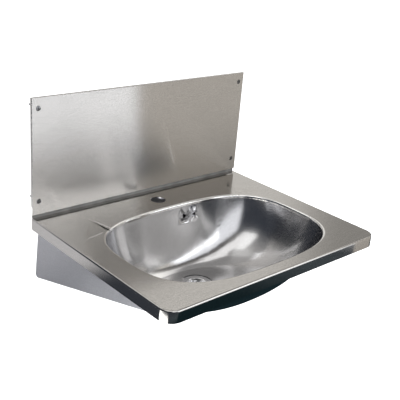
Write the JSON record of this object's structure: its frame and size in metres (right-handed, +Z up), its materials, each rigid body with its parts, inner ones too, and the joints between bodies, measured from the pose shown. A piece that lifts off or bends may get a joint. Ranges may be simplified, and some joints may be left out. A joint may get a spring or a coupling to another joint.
{
  "type": "wall-hung hand wash basin",
  "caption": "Wall-hung stainless steel hand wash basin with an oval bowl, tap ledge, side brackets, strainer waste, overflow and separate splashback.",
  "frame": {"origin": "middle of the four wall fixing holes, on the wall's face", "axes": "+X along the wall to the basin's right as its user sees it, +Y into the wall, +Z up"},
  "size_m": [0.6, 0.501, 0.477],
  "materials": {
    "deck_steel": "satin brushed stainless steel",
    "bowl_steel": "satin polished stainless steel",
    "splash_steel": "fine vertical brushed stainless steel",
    "bracket_steel": "satin stainless steel",
    "rail_steel": "mill finish stainless steel",
    "fastener_steel": "bright stainless steel",
    "polished_steel": "polished stainless steel",
    "waste_plastic": "white polypropylene",
    "spacer_plastic": "black nylon",
    "gasket_rubber": "black rubber",
    "foam_seal": "closed-cell foam",
    "bonding_brass": "nickel-free brass"
  },
  "bodies": {
    "root": {"deck": "deck_steel", "bowl": "bowl_steel", "tap_ledge_stiffener": "rail_steel", "left_bracket": "bracket_steel", "right_bracket": "bracket_steel", "wall_rail": "rail_steel", "weld_studs": "fastener_steel", "stud_washers": "fastener_steel", "stud_nuts": "fastener_steel", "splashback": "splash_steel", "splashback_screws": "polished_steel", "splashback_spacers": "spacer_plastic", "sealing_strip": "foam_seal", "waste_upper_gasket": "gasket_rubber", "waste_flange": "polished_steel", "waste_screw": "polished_steel", "waste_lower_gasket": "gasket_rubber", "waste_body": "waste_plastic", "overflow_gasket": "foam_seal", "overflow_housing": "waste_plastic", "overflow_screw": "polished_steel", "overflow_pipe": "waste_plastic", "overflow_nuts": "waste_plastic", "overflow_seals": "gasket_rubber", "bonding_lug": "rail_steel", "bonding_screw": "bonding_brass", "bonding_nut": "bonding_brass"}
  },
  "joints": []
}
